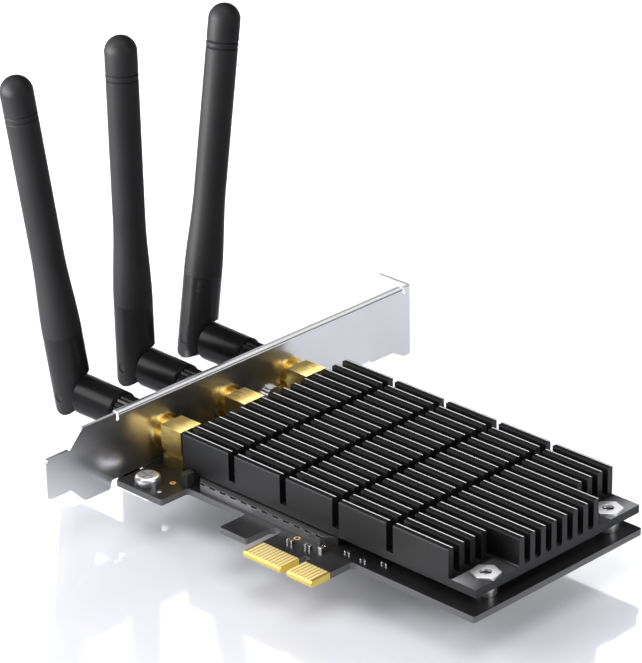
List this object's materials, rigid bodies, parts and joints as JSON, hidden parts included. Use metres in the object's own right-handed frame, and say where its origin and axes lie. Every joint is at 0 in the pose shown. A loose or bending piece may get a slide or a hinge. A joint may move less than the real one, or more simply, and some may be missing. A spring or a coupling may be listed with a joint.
{
  "type": "pcie wifi card",
  "caption": "Low slot expansion card for wireless networking, with a finned heat sink, a slot bracket, gold jacks and hinged stick antennas.",
  "frame": {"origin": "centre of the key notch at the tips of the edge fingers, half way through the board", "axes": "+X along the card away from the slot bracket, +Y from the edge fingers up the card, +Z out of the component side"},
  "size_m": [0.1409, 0.12, 0.0937],
  "materials": {
    "steel": "bright plated sheet steel",
    "board": "black solder mask on glass fibre board",
    "contact_gold": "thin hard gold plating",
    "gold": "gold plated brass",
    "sink_black": "black anodised extrusion",
    "pad": "soft heat pad",
    "tin": "tinned sheet",
    "chip": "moulded epoxy",
    "ferrite": "pressed ferrite",
    "capacitor": "fired ceramic",
    "plated_steel": "bright zinc plating",
    "insulator": "white fluoropolymer",
    "collar_black": "black plated knurled metal",
    "antenna_plastic": "satin black moulding",
    "antenna_rubber": "satin black flexible moulding",
    "element_brass": "bare brass"
  },
  "bodies": {
    "root": {"bracket": "steel", "pcb": "board", "edge_contacts_top": "contact_gold", "edge_contacts_bottom": "contact_gold", "heat_sink": "sink_black", "thermal_pad": "pad", "shield_can": "tin", "radio_chip": "chip", "front_end_chips": "chip", "crystal": "tin", "flash_chip": "chip", "regulator_chip": "chip", "power_inductor": "ferrite", "smd_capacitors": "capacitor", "smd_resistors": "chip", "band_filter": "chip", "standoffs": "plated_steel", "heat_sink_screws": "plated_steel", "hex_nuts": "plated_steel", "bracket_screw_1": "plated_steel", "bracket_screw_2": "plated_steel", "clinch_nut": "plated_steel", "jack_body_1": "gold", "jack_washer_1": "gold", "jack_nut_1": "gold", "jack_insulator_1": "insulator", "jack_contact_1": "gold", "jack_body_2": "gold", "jack_washer_2": "gold", "jack_nut_2": "gold", "jack_insulator_2": "insulator", "jack_contact_2": "gold", "jack_body_3": "gold", "jack_washer_3": "gold", "jack_nut_3": "gold", "jack_insulator_3": "insulator", "jack_contact_3": "gold", "antenna_collar_1": "collar_black", "antenna_collar_2": "collar_black", "antenna_collar_3": "collar_black"},
    "antenna_1_base": {"antenna_base_1": "antenna_plastic", "hinge_pin_1": "antenna_plastic"},
    "antenna_1_blade": {"antenna_knuckle_1": "antenna_plastic", "antenna_sleeve_1": "antenna_rubber", "antenna_element_1": "element_brass"},
    "antenna_2_base": {"antenna_base_2": "antenna_plastic", "hinge_pin_2": "antenna_plastic"},
    "antenna_2_blade": {"antenna_knuckle_2": "antenna_plastic", "antenna_sleeve_2": "antenna_rubber", "antenna_element_2": "element_brass"},
    "antenna_3_base": {"antenna_base_3": "antenna_plastic", "hinge_pin_3": "antenna_plastic"},
    "antenna_3_blade": {"antenna_knuckle_3": "antenna_plastic", "antenna_sleeve_3": "antenna_rubber", "antenna_element_3": "element_brass"}
  },
  "joints": [
    {"name": "antenna_1_swivel", "type": "hinge", "parent": "root", "child": "antenna_1_base", "pos_m": [-0.09115, 0.0204, 0.00787], "axis": [-1, 0, 0], "range_deg": [-81.1, 4.9]},
    {"name": "antenna_1_tilt", "type": "hinge", "parent": "antenna_1_base", "child": "antenna_1_blade", "pos_m": [-0.09115, 0.0204, 0.00787], "axis": [0, 0.988, 0.1547], "range_deg": [-90, 0]},
    {"name": "antenna_2_swivel", "type": "hinge", "parent": "root", "child": "antenna_2_base", "pos_m": [-0.09115, 0.0409, 0.00787], "axis": [-1, 0, 0], "range_deg": [-9.4, 6.6]},
    {"name": "antenna_2_tilt", "type": "hinge", "parent": "antenna_2_base", "child": "antenna_2_blade", "pos_m": [-0.09115, 0.0409, 0.00787], "axis": [0, 0.9999, 0.0105], "range_deg": [-90, 0]},
    {"name": "antenna_3_swivel", "type": "hinge", "parent": "root", "child": "antenna_3_base", "pos_m": [-0.09115, 0.0614, 0.00787], "axis": [-1, 0, 0], "range_deg": [-8.7, 81.3]},
    {"name": "antenna_3_tilt", "type": "hinge", "parent": "antenna_3_base", "child": "antenna_3_blade", "pos_m": [-0.09115, 0.0614, 0.00787], "axis": [0, 0.9885, -0.1513], "range_deg": [-90, 0]}
  ]
}
